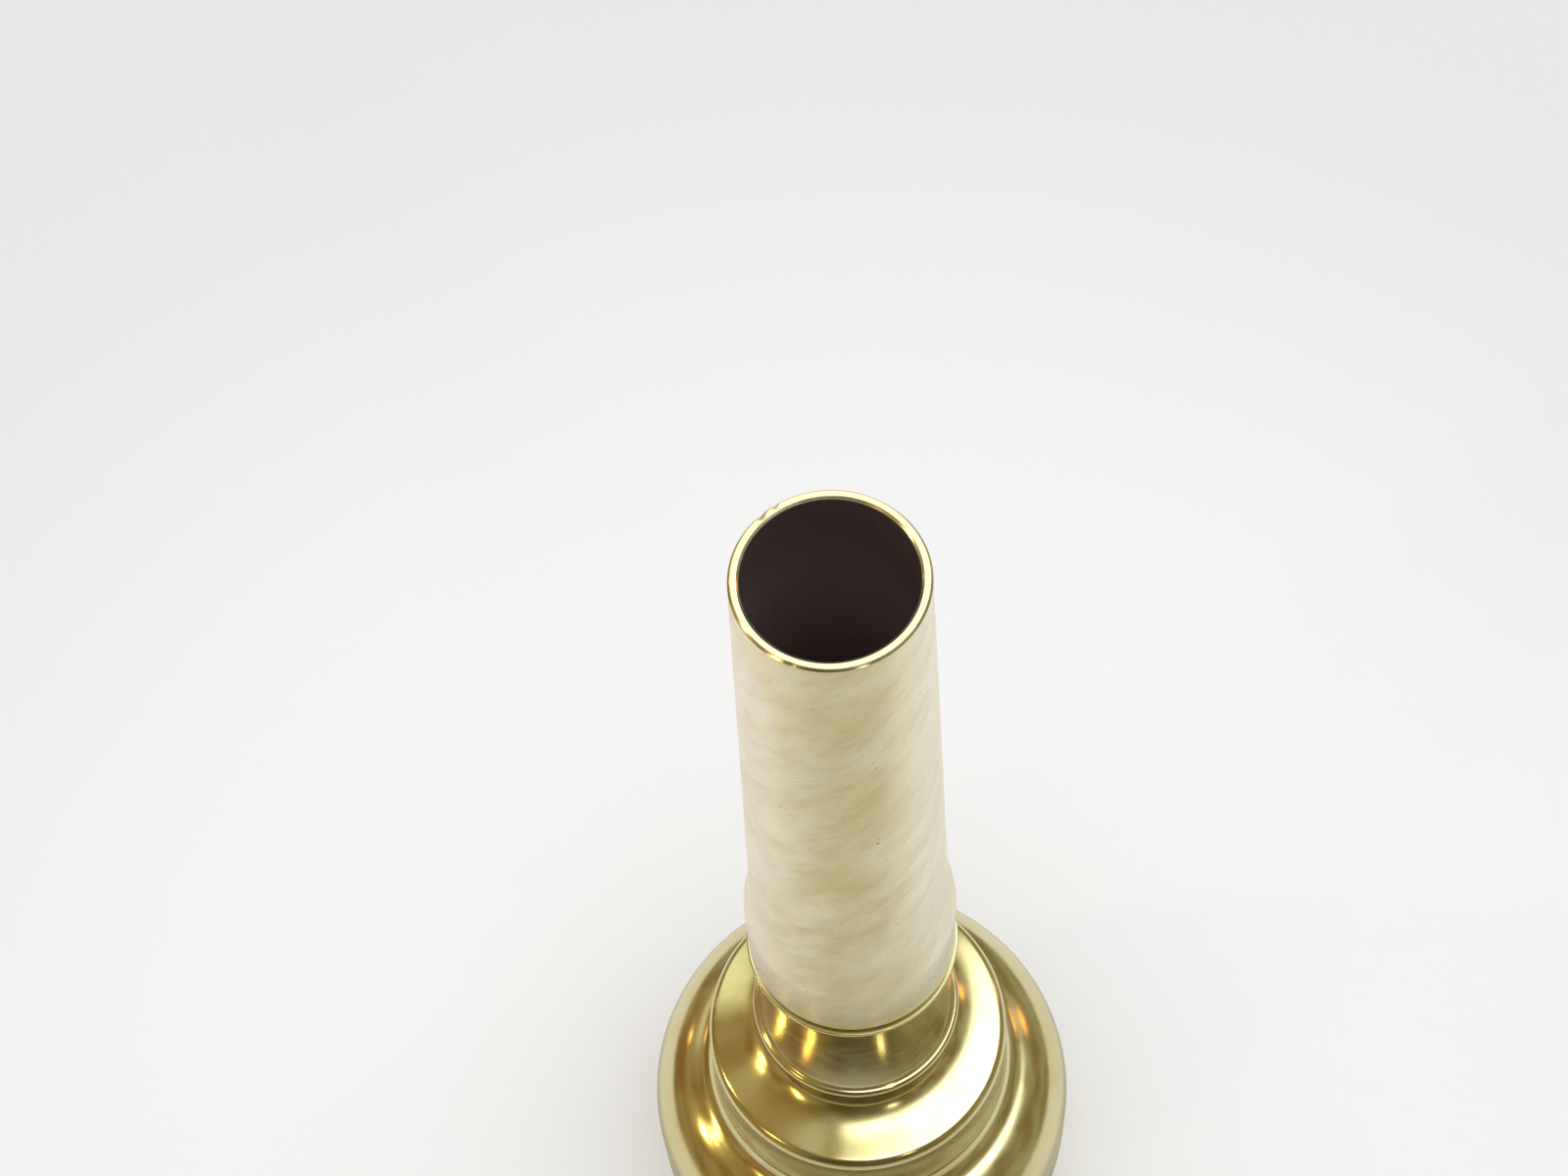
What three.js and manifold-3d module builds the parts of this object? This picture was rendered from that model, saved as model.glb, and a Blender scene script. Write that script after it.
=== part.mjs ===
// Modular trumpet mouthpiece with a heavyweight outer body, standing on its rim.
//
// Millimetres, +Z up along the bore. The origin is the centre of the rim's playing plane, so the
// rim is at the bottom and the tapered shank points straight up.
//
// The cup carries everything: the rim screws on below it, the heavy shell slides over it from
// above, and the shank screws into its stem and clamps the shell's neck through a thin washer.

import * as THREE from 'three';
import { mergeVertices } from 'three/addons/utils/BufferGeometryUtils.js';
import Module from 'manifold-3d';

const wasm = await Module();
wasm.setup();

// ---------------------------------------------------------------- driving dimensions

const LENGTH = 88;            // rim plane to shank end
const GAP = 0.1;              // running and seating clearance between pieces
const EDGE = 0.25;            // broken edges

const SHANK_END_R = 4.9;      // small end of the shank
const SHANK_TAPER = 1 / 40;   // radius gained per millimetre, a 1:20 taper on the diameter
const SHANK_END_EDGE = 0.08;
const CONE_LOW_Z = 50.4;      // where the taper swells out into the collar
const COLLAR_R = 6.34;
const COLLAR_TOP_Z = 46.6;
const SEAM_Z = 41.6;          // underside of the collar

const BACKBORE_R = 4.333;     // at the shank end
const BACKBORE_EDGE = 0.15;   // bevel round its mouth
const BACKBORE_START_R = 1.95;
const THROAT_R = 1.83;
const NOSE_Z = 18;            // lower end of the shank's pilot nose
const NOSE_R = 3.2;

const CUP_SEAT_Z = 2.5;       // the rim joins the bowl here
const BOWL_R = 8.3;
const THROAT_Z = 14.6;        // the bowl runs into the throat
const CUP_WALL_R = 10.1;
const CUP_SHOULDER_Z = 13.6;  // the bowl's wall starts to close towards the stem
const STEM_R = 5.0;
const STEM_LOW_Z = 21.8;
const STEM_TOP_Z = 40.4;

const RIM_R = 13.5;
const RIM_TOP_Z = 6.8;
const RIM_FLAT_R = [10.2, 11.2];  // the flat ring that touches the lips
const RIM_INNER_R = 8.35;

const SHELL_LOW_Z = 7.1;
const SHELL_R = 14.34;
const SHELL_TOP_Z = 41.1;
const SHOULDER = { r: 7.84, z: 11.7, radius: 6.5, from: 0, to: 60 };
const COVE_Z = [18.07, 19.5]; // the shoulder turns up into the drum
const DRUM_R = 9.8;
const DRUM_EDGE = { r: 8.9, z: 24.2, radius: 0.95, from: -18, to: 62 };
const SHELF_CURVE = [8.2, 25.64, 7.0, 26.2, 6.4, 26.9]; // hollow slope up to the neck
const NECK_BEAD = { r: 6.22, z: 29.6, radius: 0.45, from: -81, to: 81 };
const NECK_R = 6.5;           // at the top, just proud of the collar above it
const NECK_WAIST_R = 5.75;    // pull of the neck's hollow curve
const RING_GROOVE_R = [11.1, 12.3];
const RING_GROOVE_DEPTH = 0.8;

const WASHER = { innerR: 4.5, outerR: 6.0, lowZ: 41.2, highZ: 41.5 };

// O-rings: centre-line radius, height, section radius
const RIM_RING = { r: 11.7, z: 7.35, section: 0.45 };
const LOWER_RING = { r: 9.75, z: 10, section: 0.45 };
const UPPER_RING = { r: 4.64, z: 27, section: 0.4 };

// Threads: right-handed, crestR is the male crest, z is one point of the helix
const PITCH = 1.0;
const THREAD_DEPTH = 0.35;
const CREST_FLAT = 0.22;
const FLANK_SLOPE = Math.tan(Math.PI / 6);
const SHANK_THREAD = { crestR: 4.25, lowZ: 35.5, highZ: 39.4 };
const RIM_THREAD = { crestR: 10.6, lowZ: 3.4, highZ: 6.5 };

const SEGMENTS = 32;          // flats around each turned piece
const CURVE_STEPS = 6;
const RING_SIDES = 8;

// ---------------------------------------------------------------- finishes

const finish = (color, roughness, metalness) =>
  new THREE.MeshStandardMaterial({ color, roughness, metalness });
const goldPlate = () => finish(0xb9a860, 0.15, 1);
const silverPlate = () => finish(0xcfc4a4, 0.35, 1);
const blackRubber = () => finish(0x1c1b1a, 0.8, 0);

// ---------------------------------------------------------------- shaping

// Turns a closed outline, drawn anticlockwise with x as the radius and y as the height, about Z.
function turned(outline) {
  const points = outline.getPoints(CURVE_STEPS);
  if (!points[0].equals(points[points.length - 1])) points.push(points[0].clone());
  const geometry = new THREE.LatheGeometry(points, SEGMENTS);
  geometry.rotateX(Math.PI / 2);
  return geometry;
}

function toManifold(geometry) {
  geometry.deleteAttribute('normal');
  geometry.deleteAttribute('uv');
  const merged = mergeVertices(geometry, 1e-4);
  return new wasm.Manifold(new wasm.Mesh({
    numProp: 3,
    vertProperties: new Float32Array(merged.attributes.position.array),
    triVerts: new Uint32Array(merged.index.array),
  }));
}

function toGeometry(manifold) {
  const mesh = manifold.getMesh();
  const geometry = new THREE.BufferGeometry();
  geometry.setAttribute('position', new THREE.BufferAttribute(mesh.vertProperties, 3));
  geometry.setIndex(new THREE.BufferAttribute(mesh.triVerts, 1));
  geometry.computeVertexNormals();
  return geometry;
}

// A trapezoid ridge carried up a right-hand helix and closed at both ends. Its flanks widen from
// crestFlat at crestR inwards to baseR. The helix passes through z = 0 on the lathe's first flat.
function helixRidge(crestR, baseR, crestFlat, lowTurn, highTurn) {
  const halfCrest = crestFlat / 2;
  const halfBase = halfCrest + (crestR - baseR) * FLANK_SLOPE;
  const section = [[baseR, -halfBase], [crestR, -halfCrest], [crestR, halfCrest], [baseR, halfBase]];
  const steps = (highTurn - lowTurn) * SEGMENTS;
  const positions = [];
  for (let i = 0; i <= steps; i++) {
    const turn = lowTurn + i / SEGMENTS;
    const angle = 2 * Math.PI * turn - Math.PI / 2;
    for (const [r, dz] of section) {
      positions.push(r * Math.cos(angle), r * Math.sin(angle), PITCH * turn + dz);
    }
  }
  const triangles = [0, 1, 2, 0, 2, 3];
  for (let i = 0; i < steps; i++) {
    for (let k = 0; k < 4; k++) {
      const a = 4 * i + k;
      const d = 4 * i + (k + 1) % 4;
      triangles.push(a, a + 4, d, d + 4, d, a + 4);
    }
  }
  const last = 4 * steps;
  triangles.push(last, last + 2, last + 1, last, last + 3, last + 2);
  return new wasm.Manifold(new wasm.Mesh({
    numProp: 3,
    vertProperties: new Float32Array(positions),
    triVerts: new Uint32Array(triangles),
  }));
}

// The ridge of a male thread, with its two ends bevelled away.
function maleThread({ crestR, lowZ, highZ }) {
  const baseR = crestR - THREAD_DEPTH - 0.15;
  const ridge = helixRidge(crestR, baseR, CREST_FLAT, Math.floor(lowZ), Math.ceil(highZ));
  const sleeve = new THREE.Path()
    .moveTo(baseR - 0.1, lowZ)
    .lineTo(crestR - THREAD_DEPTH, lowZ)
    .lineTo(crestR + 0.05, lowZ + THREAD_DEPTH)
    .lineTo(crestR + 0.05, highZ - THREAD_DEPTH)
    .lineTo(crestR - THREAD_DEPTH, highZ)
    .lineTo(baseR - 0.1, highZ);
  return ridge.intersect(toManifold(turned(sleeve)));
}

// What a tap removes for the female thread that fits: the same helix, larger by the clearance.
function femaleThread({ crestR, lowZ, highZ }) {
  const boreR = crestR - THREAD_DEPTH + GAP;
  const flat = CREST_FLAT + 1.2 * GAP;
  return helixRidge(crestR + GAP, boreR - GAP, flat, Math.floor(lowZ), Math.ceil(highZ) + 2);
}

function oRing({ r, z, section }) {
  const outline = new THREE.Path();
  for (let i = 0; i <= RING_SIDES; i++) {
    const angle = 2 * Math.PI * (i % RING_SIDES) / RING_SIDES;
    const point = [r + section * Math.cos(angle), z + section * Math.sin(angle)];
    if (i === 0) outline.moveTo(...point);
    else outline.lineTo(...point);
  }
  return turned(outline);
}

// ---------------------------------------------------------------- pieces

// Tapered shank, collar, threaded spigot and pilot nose in one, with the backbore right through.
function shank() {
  const coneLowR = SHANK_END_R + SHANK_TAPER * (LENGTH - CONE_LOW_Z);
  const { crestR, lowZ, highZ } = SHANK_THREAD;
  const rootR = crestR - THREAD_DEPTH;
  const outline = new THREE.Path()
    .moveTo(BACKBORE_START_R, NOSE_Z)
    .lineTo(NOSE_R - EDGE, NOSE_Z)
    .lineTo(NOSE_R, NOSE_Z + EDGE)
    .lineTo(NOSE_R, lowZ - 1)
    .lineTo(rootR, lowZ)
    .lineTo(rootR, SEAM_Z)
    .lineTo(COLLAR_R - EDGE, SEAM_Z)
    .lineTo(COLLAR_R, SEAM_Z + EDGE)
    .lineTo(COLLAR_R, COLLAR_TOP_Z)
    .bezierCurveTo(COLLAR_R, COLLAR_TOP_Z + 1.6, coneLowR, CONE_LOW_Z - 1.6, coneLowR, CONE_LOW_Z)
    .lineTo(SHANK_END_R, LENGTH - SHANK_END_EDGE)
    .lineTo(SHANK_END_R - SHANK_END_EDGE, LENGTH)
    .lineTo(BACKBORE_R + BACKBORE_EDGE, LENGTH)
    .lineTo(BACKBORE_R, LENGTH - BACKBORE_EDGE)
    .quadraticCurveTo(3.4, 45, BACKBORE_START_R, NOSE_Z);
  return toGeometry(toManifold(turned(outline)).add(maleThread(SHANK_THREAD)));
}

// Bowl, throat and stem. The rim's thread is cut on its lower wall and the shank's inside the stem.
function cup() {
  const boreR = SHANK_THREAD.crestR - THREAD_DEPTH + GAP;
  const pilotR = NOSE_R + 1.5 * GAP;
  const rimRootR = RIM_THREAD.crestR - THREAD_DEPTH;
  const outline = new THREE.Path()
    .moveTo(BOWL_R, CUP_SEAT_Z)
    .lineTo(rimRootR - EDGE, CUP_SEAT_Z)
    .lineTo(rimRootR, CUP_SEAT_Z + EDGE)
    .lineTo(rimRootR, RIM_TOP_Z)
    .lineTo(CUP_WALL_R, RIM_TOP_Z + EDGE);
  ringGroove(outline, LOWER_RING, CUP_WALL_R);
  outline
    .lineTo(CUP_WALL_R, CUP_SHOULDER_Z)
    .lineTo(STEM_R, STEM_LOW_Z);
  ringGroove(outline, UPPER_RING, STEM_R);
  outline
    .lineTo(STEM_R, STEM_TOP_Z - EDGE)
    .lineTo(STEM_R - EDGE, STEM_TOP_Z)
    .lineTo(boreR + THREAD_DEPTH, STEM_TOP_Z)
    .lineTo(boreR, STEM_TOP_Z - THREAD_DEPTH)
    .lineTo(boreR, SHANK_THREAD.lowZ - 0.8)
    .lineTo(pilotR, SHANK_THREAD.lowZ - 1.4)
    .lineTo(pilotR, NOSE_Z - GAP)
    .lineTo(THROAT_R, NOSE_Z - GAP)
    .lineTo(THROAT_R, THROAT_Z)
    .bezierCurveTo(THROAT_R, 12, 8, 9, BOWL_R, CUP_SEAT_Z);
  return toGeometry(toManifold(turned(outline))
    .subtract(femaleThread(SHANK_THREAD))
    .add(maleThread(RIM_THREAD)));
}

// A square O-ring groove in an outer wall, drawn upwards.
function ringGroove(outline, { r, z, section }, wallR) {
  const bottomR = r - section - GAP / 2;
  const half = section + 1.5 * GAP;
  outline
    .lineTo(wallR, z - half)
    .lineTo(bottomR, z - half)
    .lineTo(bottomR, z + half)
    .lineTo(wallR, z + half);
}

// Screw-on rim: rounded bite, flat playing ring and a threaded skirt.
function rim() {
  const boreR = RIM_THREAD.crestR - THREAD_DEPTH + GAP;
  const seatZ = CUP_SEAT_Z - GAP;
  const outline = new THREE.Path()
    .moveTo(RIM_INNER_R, seatZ)
    .lineTo(RIM_INNER_R + 0.05, 1.6)
    .bezierCurveTo(RIM_INNER_R + 0.1, 0.7, RIM_INNER_R + 0.8, 0, RIM_FLAT_R[0], 0)
    .lineTo(RIM_FLAT_R[1], 0)
    .bezierCurveTo(RIM_FLAT_R[1] + 1.3, 0, RIM_R, 1.0, RIM_R, 2.8)
    .lineTo(RIM_R, RIM_TOP_Z - EDGE)
    .lineTo(RIM_R - EDGE, RIM_TOP_Z)
    .lineTo(boreR + THREAD_DEPTH, RIM_TOP_Z)
    .lineTo(boreR, RIM_TOP_Z - THREAD_DEPTH)
    .lineTo(boreR, seatZ);
  return toGeometry(toManifold(turned(outline)).subtract(femaleThread(RIM_THREAD)));
}

// Heavy outer body: barrel with a round shoulder, drum, sloping shelf, beaded foot and neck.
function bodyShell() {
  const boreR = CUP_WALL_R + 1.5 * GAP;
  const neckBoreR = STEM_R + 1.5 * GAP;
  const grooveZ = SHELL_LOW_Z + RING_GROOVE_DEPTH;
  const outline = new THREE.Path()
    .moveTo(boreR + EDGE, SHELL_LOW_Z)
    .lineTo(RING_GROOVE_R[0], SHELL_LOW_Z)
    .lineTo(RING_GROOVE_R[0], grooveZ)
    .lineTo(RING_GROOVE_R[1], grooveZ)
    .lineTo(RING_GROOVE_R[1], SHELL_LOW_Z)
    .lineTo(SHELL_R - 2 * EDGE, SHELL_LOW_Z)
    .lineTo(SHELL_R, SHELL_LOW_Z + 2 * EDGE);
  round(outline, SHOULDER);
  outline.quadraticCurveTo(DRUM_R, COVE_Z[0], DRUM_R, COVE_Z[1]);
  round(outline, DRUM_EDGE);
  outline.bezierCurveTo(...SHELF_CURVE);
  round(outline, NECK_BEAD);
  outline
    .quadraticCurveTo(NECK_WAIST_R, 35, NECK_R, SHELL_TOP_Z - EDGE)
    .lineTo(NECK_R - EDGE / 2, SHELL_TOP_Z)
    .lineTo(neckBoreR, SHELL_TOP_Z)
    .lineTo(neckBoreR, STEM_LOW_Z + 0.1)
    .lineTo(boreR, CUP_SHOULDER_Z + 0.1)
    .lineTo(boreR, SHELL_LOW_Z + EDGE);
  return turned(outline);
}

// An arc about a point, drawn upwards from one angle in degrees to another.
function round(outline, { r, z, radius, from, to }) {
  outline.absarc(r, z, radius, THREE.MathUtils.degToRad(from), THREE.MathUtils.degToRad(to));
}

// Flat washer that the shank's collar presses onto the shell's neck.
function washer() {
  const { innerR, outerR, lowZ, highZ } = WASHER;
  return turned(new THREE.Path()
    .moveTo(innerR, lowZ)
    .lineTo(outerR, lowZ)
    .lineTo(outerR, highZ)
    .lineTo(innerR, highZ));
}

// ---------------------------------------------------------------- assembly

function piece(name, geometry, material) {
  const mesh = new THREE.Mesh(geometry, material);
  mesh.name = name;
  return mesh;
}

const mouthpiece = new THREE.Group();
mouthpiece.add(
  piece('rim', rim(), goldPlate()),
  piece('rim_ring', oRing(RIM_RING), blackRubber()),
  piece('cup', cup(), goldPlate()),
  piece('lower_ring', oRing(LOWER_RING), blackRubber()),
  piece('upper_ring', oRing(UPPER_RING), blackRubber()),
  piece('body_shell', bodyShell(), goldPlate()),
  piece('shank_washer', washer(), blackRubber()),
  piece('shank', shank(), silverPlate()),
);

export default mouthpiece;
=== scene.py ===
"""Looks for the modular trumpet mouthpiece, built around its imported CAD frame.

Lengths in the outlines are millimetres, written as (radius, height). Everything else is in metres,
except in the materials, whose coordinates are millimetres too.
"""

import math

import bpy
from mathutils import Matrix, Vector


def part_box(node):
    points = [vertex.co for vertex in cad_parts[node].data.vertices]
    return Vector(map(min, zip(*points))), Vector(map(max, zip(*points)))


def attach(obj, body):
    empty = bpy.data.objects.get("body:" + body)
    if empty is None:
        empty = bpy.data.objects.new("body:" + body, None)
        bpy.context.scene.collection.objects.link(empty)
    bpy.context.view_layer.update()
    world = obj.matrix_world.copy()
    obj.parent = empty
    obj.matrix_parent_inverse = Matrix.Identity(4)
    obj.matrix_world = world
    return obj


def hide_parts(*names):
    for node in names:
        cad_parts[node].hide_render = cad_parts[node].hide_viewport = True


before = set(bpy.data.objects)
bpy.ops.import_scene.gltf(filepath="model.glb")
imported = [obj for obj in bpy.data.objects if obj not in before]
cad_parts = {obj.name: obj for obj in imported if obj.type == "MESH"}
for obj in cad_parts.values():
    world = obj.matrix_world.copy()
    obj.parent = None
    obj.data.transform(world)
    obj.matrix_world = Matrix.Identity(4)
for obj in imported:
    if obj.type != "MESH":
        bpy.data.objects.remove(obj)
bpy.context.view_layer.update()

MM = 0.001
TURN = 2 * math.pi


def extent(node):
    """A CAD node's largest radius and its lowest and highest height, in millimetres."""
    low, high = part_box(node)
    return high.x / MM, low.z / MM, high.z / MM


SHANK_R, SHANK_LOW, SHANK_TOP = extent("shank")
SHELL_R, SHELL_LOW, SHELL_TOP = extent("body_shell")
RIM_R, RIM_LOW, RIM_TOP = extent("rim")
_, CUP_LOW, CUP_TOP = extent("cup")
WASHER_R, WASHER_LOW, WASHER_TOP = extent("shank_washer")

# ---------------------------------------------------------------- outlines


def bezier(*points, steps=20):
    """Points along a quadratic or cubic curve, with both ends."""
    out = []
    for i in range(steps + 1):
        t = i / steps
        row = [Vector(p) for p in points]
        while len(row) > 1:
            row = [a.lerp(b, t) for a, b in zip(row, row[1:])]
        out.append(tuple(row[0]))
    return out


def arc(centre, radius, start, end, steps=24):
    """Points along an arc about centre, from start to end degrees."""
    out = []
    for i in range(steps + 1):
        a = math.radians(start + (end - start) * i / steps)
        out.append((centre[0] + radius * math.cos(a), centre[1] + radius * math.sin(a)))
    return out


def rounded(points, steps=5):
    """The outline with an arc at each point that carries a third number, the arc's radius."""
    out = []
    count = len(points)
    for i, point in enumerate(points):
        if len(point) == 2:
            out.append(tuple(point))
            continue
        here = Vector(point[:2])
        back = (Vector(points[i - 1][:2]) - here).normalized()
        ahead = (Vector(points[(i + 1) % count][:2]) - here).normalized()
        half = math.acos(max(-1.0, min(1.0, back.dot(ahead)))) / 2
        reach = point[2] / math.tan(half)
        centre = here + (back + ahead).normalized() * point[2] / math.sin(half)
        start, end = here + back * reach - centre, here + ahead * reach - centre
        sweep = start.angle_signed(end)
        for k in range(steps + 1):
            out.append(tuple(centre + Matrix.Rotation(-sweep * k / steps, 2) @ start))
    return out


def wall(r, low, high, step=0.05):
    """Closely spaced points on a straight wall, which a thread then shapes."""
    count = max(2, round(abs(high - low) / step))
    return [(r, low + (high - low) * i / count) for i in range(count + 1)]


def taper(low, high, steps=40):
    """Evenly spaced points on a cone between two points, without the first."""
    return [(low[0] + (high[0] - low[0]) * i / steps, low[1] + (high[1] - low[1]) * i / steps)
            for i in range(1, steps + 1)]


# ---------------------------------------------------------------- threads

PITCH = 1.0
THREAD_DEPTH = 0.35
THREAD_GAP = 0.1
MALE_FLAT = 0.22
FEMALE_FLAT = 0.34
FLANK = math.tan(math.radians(30))
ON_WALL = 0.002  # how near a wall's radius a point is for the thread to move it


def ridge(angle, z, flat):
    """How far a right-hand thread's flank has fallen from its crest here."""
    off = (z / PITCH - (angle + TURN / 4) / TURN + 0.5) % 1 - 0.5
    return max(0.0, abs(off) * PITCH - flat / 2) / FLANK


def male(crest, low, high):
    """Shapes a wall at the thread's root, bevelled at both ends."""
    root = crest - THREAD_DEPTH

    def shape(angle, r, z):
        if abs(r - root) > ON_WALL or not low <= z <= high:
            return r
        end = root + min(z - low, high - z)
        return max(root, min(end, crest - ridge(angle, z, MALE_FLAT)))
    return shape


def female(crest, low, high):
    """Shapes a bore into the thread that the male one fits."""
    bore = crest - THREAD_DEPTH + THREAD_GAP

    def shape(angle, r, z):
        if abs(r - bore) > ON_WALL or not low <= z <= high:
            return r
        end = bore + min(z - low, high - z)
        return max(bore, min(end, crest + THREAD_GAP - ridge(angle, z, FEMALE_FLAT)))
    return shape


# ---------------------------------------------------------------- turning

SMOOTH_ANGLE = math.radians(38)


def turned(name, outline, material, body, replaces, shapes=(), segments=256, dents=None):
    """Turns a closed outline, drawn anticlockwise, about Z, and hangs it on its CAD body."""
    verts = []
    for i in range(segments):
        angle = TURN * i / segments
        for r, z in outline:
            for shape in shapes:
                r = shape(angle, r, z)
            if dents:
                r, z = dents(angle, r, z)
            verts.append((r * MM * math.cos(angle), r * MM * math.sin(angle), z * MM))
    count = len(outline)
    faces = []
    for i in range(segments):
        j = (i + 1) % segments
        for k in range(count):
            n = (k + 1) % count
            faces.append((i * count + k, j * count + k, j * count + n, i * count + n))
    mesh = bpy.data.meshes.new(name)
    mesh.from_pydata(verts, [], faces)
    mesh.validate()
    mesh.shade_smooth()
    mesh.set_sharp_from_angle(angle=SMOOTH_ANGLE)
    mesh.materials.append(material)
    piece = bpy.data.objects.new(name, mesh)
    bpy.context.scene.collection.objects.link(piece)
    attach(piece, body)
    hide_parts(replaces)


# ---------------------------------------------------------------- materials

BUMP_DISTANCE = 0.00002


def add(tree, kind, inputs=None, **settings):
    """A new node with its settings made and its inputs set or linked."""
    node = tree.nodes.new(kind)
    for key, value in settings.items():
        setattr(node, key, value)
    for key, value in (inputs or {}).items():
        if isinstance(value, bpy.types.NodeSocket):
            tree.links.new(value, node.inputs[key])
        else:
            node.inputs[key].default_value = value
    return node


def mix(tree, factor, a, b, blend="MIX"):
    """One colour laid over another by factor."""
    node = add(tree, "ShaderNodeMix", {0: factor, 6: a, 7: b}, data_type="RGBA", blend_type=blend)
    return node.outputs[2]


def math_node(tree, operation, a, b=0.0):
    return add(tree, "ShaderNodeMath", {0: a, 1: b}, operation=operation).outputs[0]


def plus(tree, a, b):
    return math_node(tree, "ADD", a, b)


def less(tree, a, b):
    return math_node(tree, "SUBTRACT", a, b)


def times(tree, a, b):
    return math_node(tree, "MULTIPLY", a, b)


def span(tree, value, low, high, to_low=0.0, to_high=1.0):
    """Maps low..high smoothly onto to_low..to_high."""
    inputs = {"Value": value, "From Min": low, "From Max": high, "To Min": to_low, "To Max": to_high}
    return add(tree, "ShaderNodeMapRange", inputs, interpolation_type="SMOOTHSTEP").outputs[0]


def axes(tree, place):
    """The X, Y and Z of a place."""
    return add(tree, "ShaderNodeSeparateXYZ", {0: place}).outputs


def reach_of(tree, place):
    """How far a place is from the origin."""
    return add(tree, "ShaderNodeVectorMath", {0: place}, operation="LENGTH").outputs["Value"]


def noise(tree, place, scale, detail=3.0, rough=0.55, stretch=(1, 1, 1), shift=(0, 0, 0)):
    """Noise in the place's coordinates, stretched and shifted."""
    mapping = add(tree, "ShaderNodeMapping", {"Vector": place, "Location": shift, "Scale": stretch})
    inputs = {"Vector": mapping.outputs[0], "Scale": scale, "Detail": detail, "Roughness": rough}
    return add(tree, "ShaderNodeTexNoise", inputs).outputs["Fac"]


def twisted(tree, place, turn):
    """Coordinates in which marks drawn along Z climb a helix about it, by turn radians a millimetre."""
    angle = times(tree, axes(tree, place)[2], -turn)
    inputs = {"Vector": place, "Angle": angle}
    return add(tree, "ShaderNodeVectorRotate", inputs, rotation_type="Z_AXIS").outputs[0]


def scratches(tree, place, turn, scale, low, high, shift=(0, 0, 0)):
    """Thin slanting marks: the crests of a noise drawn out along a helix."""
    field = noise(tree, twisted(tree, place, turn), scale, 1.0, 0.5, (1, 1, 0.035), shift)
    return span(tree, field, low, high)


def new_material(name):
    """A material, its node tree and the object coordinates in millimetres."""
    material = bpy.data.materials.new(name)
    material.use_nodes = True
    tree = material.node_tree
    tree.nodes.clear()
    coordinates = add(tree, "ShaderNodeTexCoord")
    inputs = {0: coordinates.outputs["Object"], "Scale": 1 / MM}
    place = add(tree, "ShaderNodeVectorMath", inputs, operation="SCALE").outputs[0]
    return material, tree, place


def finish_material(tree, color, roughness, metallic, height=None, bump=0.1, specular=None):
    """The shader at the end of a material. Fixed values go straight on its sockets."""
    inputs = {"Base Color": color, "Roughness": roughness, "Metallic": metallic}
    shader = add(tree, "ShaderNodeBsdfPrincipled", inputs)
    if specular is not None:
        shader.inputs["Specular IOR Level"].default_value = specular
    if height is not None:
        inputs = {"Height": height, "Strength": bump, "Distance": BUMP_DISTANCE}
        bump_node = add(tree, "ShaderNodeBump", inputs)
        tree.links.new(bump_node.outputs[0], shader.inputs["Normal"])
    output = add(tree, "ShaderNodeOutputMaterial")
    tree.links.new(shader.outputs[0], output.inputs["Surface"])


def gold_plate():
    material, tree, place = new_material("gold_plate")
    mottle = noise(tree, place, 0.16, 4.0, 0.6)
    haze = noise(tree, place, 0.5, 5.0, 0.65, shift=(7, 3, 1))
    fine = scratches(tree, place, 0.5, 9.0, 0.70, 0.76)

    pale, deep, tarnish = (0.695, 0.64, 0.385, 1), (0.655, 0.575, 0.305, 1), (0.56, 0.44, 0.20, 1)
    color = mix(tree, span(tree, mottle, 0.35, 0.7), pale, deep)
    color = mix(tree, span(tree, haze, 0.5, 0.8, 0.0, 0.35), color, tarnish)
    rough = plus(tree, span(tree, haze, 0.3, 0.8, 0.13, 0.21), times(tree, fine, 0.08))
    finish_material(tree, color, rough, 1.0, haze, 0.03)
    return material


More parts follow.
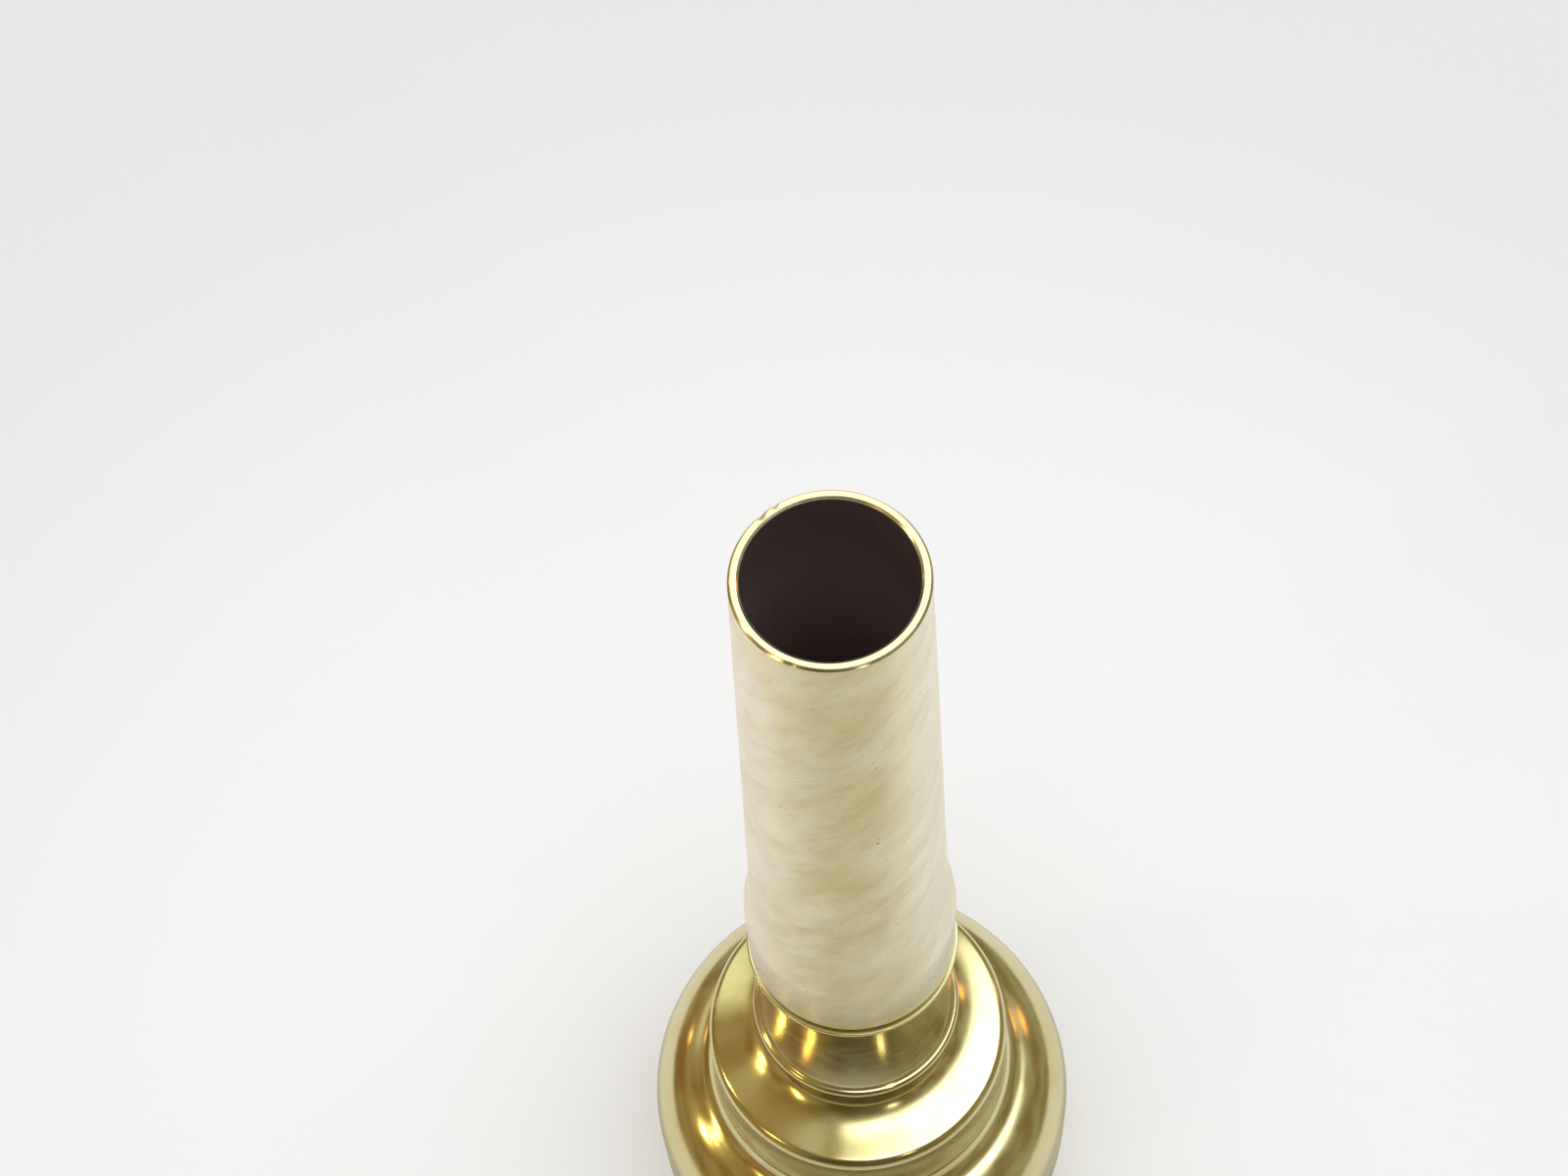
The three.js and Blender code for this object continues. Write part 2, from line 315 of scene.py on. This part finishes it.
def silver_plate():
    """Worn silver, with a yellow tarnish, a pale end face, sides tinted by painted reflection and a dull
    bore painted dark brown as shade.
    """
    material, tree, place = new_material("silver_plate")
    x, y, z = axes(tree, place)
    radius = reach_of(tree, add(tree, "ShaderNodeCombineXYZ", {0: x, 1: y}).outputs[0])

    mottle = noise(tree, place, 0.17, 4.0, 0.55)
    smear = noise(tree, twisted(tree, place, 0.12), 0.45, 5.0, 0.6, (1, 1, 0.7))
    patches = noise(tree, place, 0.3, 3.0, 0.5, shift=(12, 1, 8))
    hatch = noise(tree, twisted(tree, place, 0.24), 2.6, 5.0, 0.65, (1, 1, 0.3))
    worked = times(tree, span(tree, hatch, 0.42, 0.68), span(tree, patches, 0.38, 0.62, 0.06, 0.34))
    pits = span(tree, noise(tree, place, 2.6, 2.0, 0.5, shift=(1, 5, 2)), 0.735, 0.76)
    slant = scratches(tree, place, 0.24, 6.0, 0.70, 0.74)
    faint = scratches(tree, place, -0.15, 9.0, 0.68, 0.74, (2, 6, 1))
    marks = math_node(tree, "MAXIMUM", slant, times(tree, faint, 0.6))

    pale, yellow, olive = (0.86, 0.82, 0.62, 1), (0.80, 0.71, 0.43, 1), (0.66, 0.57, 0.31, 1)
    painted_right_reflection, painted_left_reflection, dull = (0.84, 0.83, 0.70, 1), (0.84, 0.75, 0.64, 1), (0.60, 0.53, 0.34, 1)
    color = mix(tree, span(tree, mottle, 0.3, 0.7), pale, yellow)
    color = mix(tree, span(tree, smear, 0.4, 0.75, 0.0, 0.7), color, olive)
    # Painted reflection: the +X side is tinted pale cream and the -X side pink, standing for the lighter
    # and warmer surroundings those sides reflect.
    color = mix(tree, span(tree, x, 0.5, 5.0, 0.0, 0.6), color, painted_right_reflection)
    color = mix(tree, span(tree, x, -2.5, -5.5, 0.0, 0.6), color, painted_left_reflection)
    color = mix(tree, worked, color, dull)
    color = mix(tree, times(tree, pits, 0.6), color, (0.16, 0.12, 0.07, 1))
    color = mix(tree, times(tree, marks, 0.08), color, (0.92, 0.90, 0.82, 1))
    rough = plus(tree, span(tree, smear, 0.3, 0.75, 0.26, 0.36), times(tree, marks, 0.06))

    end_face = span(tree, z, SHANK_TOP - 0.3, SHANK_TOP - 0.15)
    color = mix(tree, end_face, color, (0.79, 0.765, 0.55, 1))
    rough = less(tree, rough, span(tree, z, SHANK_TOP - 0.5, SHANK_TOP - 0.2, 0.0, 0.12))

    # Painted shade: the bore is coloured dark brown, darkest near the mouth and lighter deeper in, and
    # made rougher and less metallic.
    inside = times(tree, span(tree, radius, 4.41, 4.35), span(tree, z, 40.0, 60.0))
    painted_bore_shade_dark, painted_bore_shade_brown = (0.055, 0.04, 0.036, 1), (0.46, 0.34, 0.31, 1)
    bore = mix(tree, span(tree, z, SHANK_TOP - 0.5, SHANK_TOP - 14.0), painted_bore_shade_dark, painted_bore_shade_brown)
    color = mix(tree, inside, color, bore)
    rough = plus(tree, rough, times(tree, inside, 0.3))
    metal = less(tree, 1.0, times(tree, inside, 0.85))
    finish_material(tree, color, rough, metal, hatch, 0.03)
    return material


def seal_rubber():
    material, tree, place = new_material("seal_rubber")
    grain = noise(tree, place, 6.0, 4.0, 0.6)
    dust = noise(tree, place, 0.7, 5.0, 0.7, shift=(4, 4, 4))
    black, dusty = (0.018, 0.017, 0.016, 1), (0.07, 0.065, 0.06, 1)
    color = mix(tree, span(tree, dust, 0.5, 0.8, 0.0, 0.5), black, dusty)
    finish_material(tree, color, span(tree, dust, 0.3, 0.8, 0.5, 0.8), 0.0, grain, 0.3)
    return material


GOLD = gold_plate()
SILVER = silver_plate()
RUBBER = seal_rubber()

# ---------------------------------------------------------------- shank

CONE_LOW = 50.4
COLLAR_TOP = 46.6
COLLAR_LOW = 41.6
END_R = 4.9
CONE_R = END_R + (SHANK_TOP - CONE_LOW) / 40
END_BORE_R = 4.333
THROAT_R = 1.95
NOSE_R = 3.2
SHANK_THREAD = (4.25, 35.5, 39.4)
SPIGOT_R = SHANK_THREAD[0] - THREAD_DEPTH


def nick(angle, at, width, depth):
    """The depth of a nick here, fading to nothing width degrees either side of its middle."""
    off = (math.degrees(angle) - at + 180) % 360 - 180
    return depth * max(0.0, 1 - (off / width) ** 2) ** 2


def end_dents(angle, r, z):
    """Small nicks knocked into the outer edge of the shank's end."""
    if z < SHANK_TOP - 0.5 or r < 4.6:
        return r, z
    near = max(0.0, 1 - (SHANK_TOP - z) / 0.5)
    push = nick(angle, 128, 5, 0.1) + nick(angle, 118, 3, 0.08) + nick(angle, 243, 4, 0.03)
    return r - push * near, z - 0.6 * push * near


shank_outline = rounded([
    (THROAT_R, SHANK_LOW, 0.06), (NOSE_R, SHANK_LOW, 0.25), (NOSE_R, SHANK_THREAD[1] - 1),
    (SPIGOT_R, SHANK_THREAD[1] - 0.02),
    *wall(SPIGOT_R, SHANK_THREAD[1], SHANK_THREAD[2]),
    (SPIGOT_R, COLLAR_LOW, 0.1), (SHANK_R, COLLAR_LOW, 0.14),
    *bezier((SHANK_R, COLLAR_TOP), (SHANK_R, COLLAR_TOP + 1.6),
            (CONE_R, CONE_LOW - 1.6), (CONE_R, CONE_LOW)),
    *taper((CONE_R, CONE_LOW), (END_R, SHANK_TOP - 0.3)),
    (END_R - 0.004, SHANK_TOP - 0.13, 0.03), (END_R - 0.13, SHANK_TOP, 0.03),
    (END_BORE_R + 0.15, SHANK_TOP, 0.04), (END_BORE_R, SHANK_TOP - 0.15, 0.04),
    *bezier((END_BORE_R, SHANK_TOP - 0.3), (3.4, 45), (THROAT_R, SHANK_LOW + 0.1), steps=48)])
turned("shank_piece", shank_outline, SILVER, "shank", "shank",
       [male(*SHANK_THREAD)], dents=end_dents)

# ---------------------------------------------------------------- outer body

NECK_TOP_R = 6.5
NECK_BORE_R = 5.15
BODY_BORE_R = 10.25
DRUM_R = 9.8
SHOULDER_R = 6.5
SHOULDER_Z = 11.7
RING_SEAT_DEPTH = 0.8

shell_outline = rounded([
    (BODY_BORE_R, SHELL_LOW, 0.2), (11.1, SHELL_LOW, 0.08), (11.1, SHELL_LOW + RING_SEAT_DEPTH, 0.08),
    (12.3, SHELL_LOW + RING_SEAT_DEPTH, 0.08), (12.3, SHELL_LOW, 0.08), (SHELL_R, SHELL_LOW, 0.45),
    *arc((SHELL_R - SHOULDER_R, SHOULDER_Z), SHOULDER_R, 0, 60, 40),
    *bezier((11.09, 17.33), (DRUM_R, 18.07), (DRUM_R, 19.5), steps=16)[1:],
    *arc((8.9, 24.2), 0.95, -18, 62),
    *bezier((9.346, 25.039), (8.2, 25.64), (7.0, 26.2), (6.4, 26.9), steps=36)[1:],
    (6.33, 29.12, 0.06),
    *arc((6.22, 29.6), 0.45, -66, 68, 18),
    (6.3, 30.1, 0.08),
    *bezier((6.25, 30.5), (5.75, 35), (NECK_TOP_R, SHELL_TOP - 0.25), steps=24),
    (NECK_TOP_R, SHELL_TOP, 0.12), (NECK_BORE_R, SHELL_TOP, 0.1),
    (NECK_BORE_R, 21.9, 0.3), (BODY_BORE_R, 13.7, 0.3)])
turned("body_piece", shell_outline, GOLD, "body", "body_shell", segments=320)

# ---------------------------------------------------------------- cup

RIM_THREAD = (10.6, 3.4, 6.5)
WALL_R = 10.1
RIM_ROOT_R = RIM_THREAD[0] - THREAD_DEPTH
STEM_R = 5.0
STEM_BORE_R = SPIGOT_R + THREAD_GAP
PILOT_R = 3.35
BOWL_R = 8.3
CUP_THROAT_R = 1.83
PILOT_LOW = 17.9

# The O-rings in the cup's grooves: ring radius, height and section radius.
LOWER_RING = (9.75, 10, 0.45)
UPPER_RING = (4.64, 27, 0.4)


def groove(ring, wall_r):
    """The square groove that an O-ring sits in, drawn upwards on an outer wall."""
    r, z, section = ring
    bottom = r - section - 0.05
    half = section + 0.15
    return [(wall_r, z - half, 0.05), (bottom, z - half, 0.05),
            (bottom, z + half, 0.05), (wall_r, z + half, 0.05)]


cup_outline = rounded([
    (BOWL_R, CUP_LOW, 0.03), (RIM_ROOT_R, CUP_LOW, 0.25),
    *wall(RIM_ROOT_R, CUP_LOW + 0.5, RIM_TOP), (WALL_R, RIM_TOP + 0.25),
    *groove(LOWER_RING, WALL_R), (WALL_R, 13.6, 0.3), (STEM_R, 21.8, 0.3),
    *groove(UPPER_RING, STEM_R), (STEM_R, CUP_TOP, 0.25), (STEM_BORE_R + 0.35, CUP_TOP, 0.03),
    (STEM_BORE_R, CUP_TOP - 0.4),
    *wall(STEM_BORE_R, CUP_TOP - 0.42, SHANK_THREAD[1] - 0.75),
    (PILOT_R, SHANK_THREAD[1] - 1.4, 0.1), (PILOT_R, PILOT_LOW, 0.1), (CUP_THROAT_R, PILOT_LOW, 0.06),
    *bezier((CUP_THROAT_R, 14.6), (CUP_THROAT_R, 12), (8, 9), (BOWL_R, CUP_LOW + 0.2), steps=48)])
turned("cup_piece", cup_outline, GOLD, "body", "cup",
       [male(*RIM_THREAD), female(SHANK_THREAD[0], SHANK_THREAD[1] - 0.5, CUP_TOP + 0.5)])

# ---------------------------------------------------------------- rim

RIM_BORE_R = RIM_ROOT_R + THREAD_GAP
SEAT = CUP_LOW - 0.1

rim_outline = rounded([
    (8.35, SEAT, 0.04),
    *bezier((8.4, 1.6), (8.45, 0.7), (9.15, 0), (10.2, RIM_LOW)),
    *bezier((11.2, RIM_LOW), (12.5, 0), (RIM_R, 1.0), (RIM_R, 2.8), steps=24),
    (RIM_R, RIM_TOP, 0.22), (RIM_BORE_R + 0.35, RIM_TOP, 0.04), (RIM_BORE_R, RIM_TOP - 0.4),
    *wall(RIM_BORE_R, RIM_TOP - 0.42, SEAT + 0.2), (RIM_BORE_R, SEAT, 0.05)])
turned("rim_piece", rim_outline, GOLD, "rim", "rim",
       [female(RIM_THREAD[0], SEAT + 0.3, RIM_TOP + 0.5)])

# ---------------------------------------------------------------- seals

RIM_RING = (11.7, 7.35, 0.45)
WASHER_BORE_R = 4.5
SEAL_SEGMENTS = 160


def o_ring(name, body, ring):
    """An O-ring with a round section, in place of the CAD node of the same name."""
    r, z, section = ring
    turned(name + "_seal", arc((r, z), section, 0, 360)[:-1], RUBBER, body, name,
           segments=SEAL_SEGMENTS)


o_ring("rim_ring", "rim_ring", RIM_RING)
o_ring("lower_ring", "body", LOWER_RING)
o_ring("upper_ring", "body", UPPER_RING)
washer_outline = rounded([
    (WASHER_BORE_R, WASHER_LOW, 0.05), (WASHER_R, WASHER_LOW, 0.1),
    (WASHER_R, WASHER_TOP, 0.1), (WASHER_BORE_R, WASHER_TOP, 0.05)])
turned("washer_seal", washer_outline, RUBBER, "shank_washer", "shank_washer",
       segments=SEAL_SEGMENTS)

# ---------------------------------------------------------------- camera

ELEVATION = math.radians(62.33)
ROLL = math.radians(-5.26)
CAMERA_PLACE = Vector((-2.2056, -65.0977, 211.606)) * MM

forward = Vector((0, math.cos(ELEVATION), -math.sin(ELEVATION)))
side = Vector((1, 0, 0))
up = side.cross(forward)
camera_x = side * math.cos(ROLL) + up * math.sin(ROLL)
camera_y = up * math.cos(ROLL) - side * math.sin(ROLL)

camera_data = bpy.data.cameras.new("camera")
camera_data.lens = 67.84
camera_data.clip_start = 0.005
camera = bpy.data.objects.new("camera", camera_data)
rotation = Matrix((camera_x, camera_y, -forward)).transposed().to_4x4()
camera.matrix_world = Matrix.Translation(CAMERA_PLACE) @ rotation
bpy.context.scene.collection.objects.link(camera)
bpy.context.scene.camera = camera

# ---------------------------------------------------------------- floor

DISC_SEGMENTS = 96


def disc(name, radius, height, material):
    """A round sheet of floor, which isn't part of the object."""
    turns = [TURN * i / DISC_SEGMENTS for i in range(DISC_SEGMENTS)]
    ring = [(radius * math.cos(angle), radius * math.sin(angle), height) for angle in turns]
    mesh = bpy.data.meshes.new(name)
    mesh.from_pydata(ring, [], [list(range(DISC_SEGMENTS))])
    mesh.materials.append(material)
    piece = bpy.data.objects.new(name, mesh)
    bpy.context.scene.collection.objects.link(piece)
    return piece


def floor_paper():
    """White paper, with painted shade that greys it a little away from the mouthpiece."""
    material, tree, place = new_material("floor_paper")
    fleck = noise(tree, place, 0.03)
    color = mix(tree, fleck, (0.94, 0.95, 0.965, 1), (0.925, 0.935, 0.95, 1))
    # Painted shade: greyer further from the mouthpiece, standing for the light falling off.
    color = mix(tree, span(tree, reach_of(tree, place), 30, 115), color, (0.80, 0.805, 0.82, 1))
    finish_material(tree, color, 0.9, 0.0, specular=0.1)
    return material


def fading_paper():
    """The part of the floor that the metal reflects, with painted shade: grey near the camera and close to
    the mouthpiece. It fades out beyond the table's edge."""
    material, tree, place = new_material("fading_paper")
    reach = reach_of(tree, place)
    depth = axes(tree, place)[1]
    # Painted shade on the reflected floor: darker towards the camera's side and close to the mouthpiece.
    color = mix(tree, span(tree, depth, -54, -4), (0.56, 0.53, 0.42, 1), (0.93, 0.915, 0.88, 1))
    color = mix(tree, span(tree, reach, 19, 28), (0.60, 0.59, 0.51, 1), color)
    paper = add(tree, "ShaderNodeBsdfDiffuse", {"Color": color}).outputs[0]
    clear = add(tree, "ShaderNodeBsdfTransparent").outputs[0]
    blend = add(tree, "ShaderNodeMixShader", {0: span(tree, reach, 62, 80), 1: paper, 2: clear})
    output = add(tree, "ShaderNodeOutputMaterial")
    tree.links.new(blend.outputs[0], output.inputs["Surface"])
    return material


floor = disc("floor", 4.0, -0.0001, floor_paper())
floor.visible_glossy = False
sheet = disc("floor_sheet", 0.08, -0.00008, fading_paper())
sheet.visible_camera = False
sheet.visible_diffuse = False
sheet.visible_shadow = False

# ---------------------------------------------------------------- lamps

AIM_HEIGHT = 0.03
SPOT_DISTANCE = 0.7


def aim(azimuth, elevation):
    """The direction towards a light. Azimuth 0 is -Y, the camera's side, and +90 is +X."""
    a, e = math.radians(azimuth), math.radians(elevation)
    return Vector((math.sin(a) * math.cos(e), -math.cos(a) * math.cos(e), math.sin(e)))


def lamp(name, shape, azimuth, elevation, distance, size, brightness, color):
    """A flat soft light facing the mouthpiece. Its power follows from its size and brightness."""
    data = bpy.data.lights.new(name, "AREA")
    data.shape = shape
    data.size = size
    data.size_y = size
    data.energy = brightness * size * size * math.pi
    data.color = color
    light = bpy.data.objects.new(name, data)
    direction = aim(azimuth, elevation)
    light.location = direction * distance + Vector((0, 0, AIM_HEIGHT))
    light.rotation_euler = direction.to_track_quat("Z", "Y").to_euler()
    light.visible_camera = False
    bpy.context.scene.collection.objects.link(light)
    return light


shade = lamp("shade", "RECTANGLE", 105, 48, 0.8, 0.5, 0.6, (1.0, 1.0, 1.0))
shade.visible_glossy = False

# Small warm lamps that the gold reflects: azimuth, elevation, size, brightness and colour.
for name, azimuth, elevation, size, brightness, color in [
        ("spot_yellow", -88, 19, 0.06, 22.0, (1.0, 0.80, 0.32)),
        ("spot_yellow_b", -86, 27, 0.05, 14.0, (1.0, 0.80, 0.35)),
        ("spot_orange", -55, 18, 0.06, 10.0, (1.0, 0.55, 0.18)),
        ("spot_orange_b", -52, 23, 0.05, 14.0, (1.0, 0.78, 0.25)),
        ("spot_pale", 21, 23, 0.055, 8.0, (1.0, 0.90, 0.62)),
        ("spot_dim", -122, 5, 0.05, 3.0, (1.0, 0.55, 0.2)),
        ("spot_red", 117, 12, 0.09, 2.2, (1.0, 0.38, 0.10))]:
    lamp(name, "ELLIPSE", azimuth, elevation, SPOT_DISTANCE, size, brightness, color)

# ---------------------------------------------------------------- world

DEGREES = 180 / math.pi

world = bpy.data.worlds.new("studio")
bpy.context.scene.world = world
world.use_nodes = True
sky = world.node_tree
sky.nodes.clear()
sky_place = add(sky, "ShaderNodeTexCoord").outputs["Generated"]
sky_x, sky_y, sky_z = axes(sky, sky_place)
sky_azimuth = times(sky, math_node(sky, "ARCTAN2", sky_x, times(sky, sky_y, -1.0)), DEGREES)
sky_height = times(sky, math_node(sky, "ARCSINE", sky_z), DEGREES)


def window(value, low, high, soft):
    """1 between low and high, fading out over soft degrees on either side."""
    rising = span(sky, value, low - soft, low + soft)
    falling = span(sky, value, high - soft, high + soft, 1.0, 0.0)
    return times(sky, rising, falling)


def glow(base, across, upright, color):
    """Adds a bright patch of the studio, the product of two soft masks, to what the metal reflects."""
    return mix(sky, times(sky, across, upright), base, color, "ADD")


# The walls and the ceiling of the room that the metal reflects.
LEFT_WALL, FRONT_WALL = (0.42, 0.31, 0.145, 1), (0.145, 0.125, 0.06, 1)
FAR_WALLS, CEILING = (0.41, 0.38, 0.25, 1), (0.70, 0.68, 0.49, 1)
room = mix(sky, span(sky, sky_azimuth, -60, -15), LEFT_WALL, FRONT_WALL)
room = mix(sky, span(sky, sky_azimuth, 10, 60), room, FAR_WALLS)
room = mix(sky, span(sky, sky_y, 0.6, 0.9), room, FAR_WALLS)
room = mix(sky, span(sky, sky_height, 24, 58), room, CEILING)
clutter = noise(sky, sky_place, 4.0, 2.0, 0.5)
dimmed = mix(sky, 1.0, room, (0.64, 0.50, 0.28, 1), "MULTIPLY")
room = mix(sky, span(sky, clutter, 0.40, 0.58), dimmed, room)
room = mix(sky, span(sky, sky_height, -24, -16), (0.98, 0.96, 0.90, 1), room)

# The big window, whose lower and upper edges slope with the azimuth.
above = span(sky, plus(sky, sky_height, times(sky, sky_azimuth, 0.14)), 36, 46)
below = span(sky, less(sky, sky_height, times(sky, sky_azimuth, 0.06)), 57, 45)
big_window = span(sky, times(sky, above, below), 0, 1)
room = glow(room, window(sky_azimuth, -17, 142, 5), big_window, (2.9, 3.05, 2.8, 1))

# A bright back wall and a pale green patch to its left.
from_front = math_node(sky, "ABSOLUTE", sky_azimuth)
room = glow(room, window(from_front, 140, 200, 8), window(sky_height, 46, 80, 8), (1.0, 1.02, 1.0, 1))
room = glow(room, window(sky_azimuth, -158, -122, 8), window(sky_height, 16, 40, 6), (0.85, 0.96, 0.78, 1))

is_glossy = add(sky, "ShaderNodeLightPath").outputs["Is Glossy Ray"]
open_sky = mix(sky, is_glossy, (0.92, 0.92, 0.93, 1), room)
background = add(sky, "ShaderNodeBackground", {"Color": open_sky, "Strength": 1.0})
sky_output = add(sky, "ShaderNodeOutputWorld")
sky.links.new(background.outputs[0], sky_output.inputs["Surface"])

bpy.context.scene.view_settings.view_transform = "Standard"
